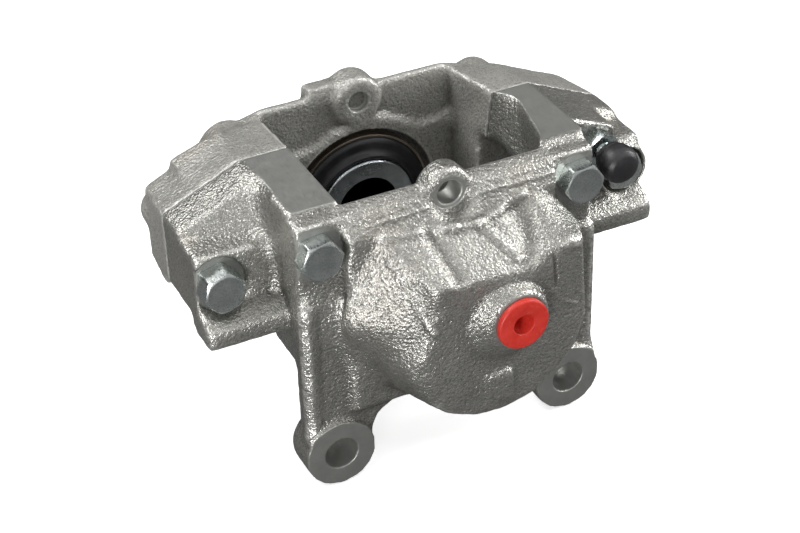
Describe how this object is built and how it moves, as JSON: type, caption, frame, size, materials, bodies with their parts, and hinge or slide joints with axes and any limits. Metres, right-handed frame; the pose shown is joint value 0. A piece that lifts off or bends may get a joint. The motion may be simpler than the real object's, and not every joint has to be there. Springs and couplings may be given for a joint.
{
  "type": "fixed disc brake caliper",
  "caption": "Fixed disc brake caliper in two bolted cast-iron halves, with an opposed piston in each, mounting ears, pad window, bleeder and plugged fluid inlet.",
  "frame": {"origin": "midway between the two mounting holes, on the machined inboard face of the ears", "axes": "+X along the caliper, tangential to the disc, +Y outboard along the piston axis, +Z radially out from the hub, so the pad window opens upwards"},
  "size_m": [0.1759, 0.1325, 0.1151],
  "materials": {
    "cast_iron": "sand-cast skin, machined at the joint faces, lands, ears and spotfaces",
    "zinc_steel": "zinc plated",
    "piston_steel": "ground and plated",
    "seal_rubber": "matt",
    "boot_rubber": "satin",
    "clamp_steel": "plain spring steel",
    "red_plastic": "moulded"
  },
  "bodies": {
    "caliper": {"inboard_housing": "cast_iron", "outboard_housing": "cast_iron", "inner_bridge_bolts": "zinc_steel", "outer_bridge_bolts": "zinc_steel", "inboard_piston_seal": "seal_rubber", "outboard_piston_seal": "seal_rubber", "inboard_dust_boot": "boot_rubber", "outboard_dust_boot": "boot_rubber", "inboard_boot_clamp_ring": "clamp_steel", "outboard_boot_clamp_ring": "clamp_steel", "crossover_seal": "seal_rubber"},
    "inboard_piston": {"inboard_piston": "piston_steel"},
    "outboard_piston": {"outboard_piston": "piston_steel"},
    "bleeder": {"bleeder_screw": "zinc_steel"},
    "bleeder_cap": {"bleeder_cap": "boot_rubber"},
    "port_plug": {"port_plug": "red_plastic"}
  },
  "joints": [
    {"name": "inboard_piston_slide", "type": "slide", "parent": "caliper", "child": "inboard_piston", "axis": [0, 1, 0], "range_m": [-0.001, 0.012]},
    {"name": "outboard_piston_slide", "type": "slide", "parent": "caliper", "child": "outboard_piston", "axis": [0, -1, 0], "range_m": [-0.001, 0.012]},
    {"name": "bleeder_turn", "type": "hinge", "parent": "caliper", "child": "bleeder", "pos_m": [0.0677, 0.0217, 0.0833], "axis": [0, -1, 0], "range_deg": [0, 270]},
    {"name": "bleeder_cap_pull", "type": "slide", "parent": "bleeder", "child": "bleeder_cap", "axis": [0, -1, 0], "range_m": [0, 0.025]},
    {"name": "port_plug_pull", "type": "slide", "parent": "caliper", "child": "port_plug", "axis": [0, -1, 0], "range_m": [0, 0.02]}
  ],
  "couplings": [
    {"joint": "outboard_piston_slide", "follows": "inboard_piston_slide", "ratio": 1}
  ]
}
